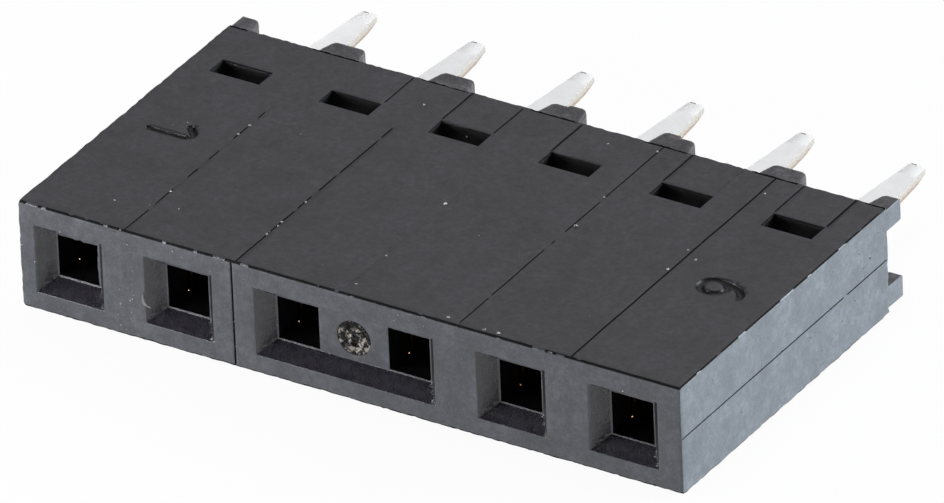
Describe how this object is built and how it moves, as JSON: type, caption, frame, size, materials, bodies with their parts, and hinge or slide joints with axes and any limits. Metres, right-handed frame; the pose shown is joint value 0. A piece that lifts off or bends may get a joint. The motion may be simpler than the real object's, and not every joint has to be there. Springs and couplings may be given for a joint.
{
  "type": "female pin header strip",
  "caption": "Single-row female header strip: black moulded housing with square lead-ins and rear standoffs, holding formed spring contacts with flat solder tails.",
  "frame": {"origin": "middle of the footprint of housing and tails, at the underside", "axes": "+X along the row, +Y from the mating face to the tails, +Z out of the wide face that has the lock windows"},
  "size_m": [0.0152, 0.0112, 0.0024],
  "materials": {
    "housing": "black glass-filled moulding, satin",
    "contact": "copper alloy, bright tin on the tails and gold at the contact tips"
  },
  "bodies": {
    "root": {"housing": "housing", "contact_1": "contact", "contact_2": "contact", "contact_3": "contact", "contact_4": "contact", "contact_5": "contact", "contact_6": "contact"}
  },
  "joints": []
}
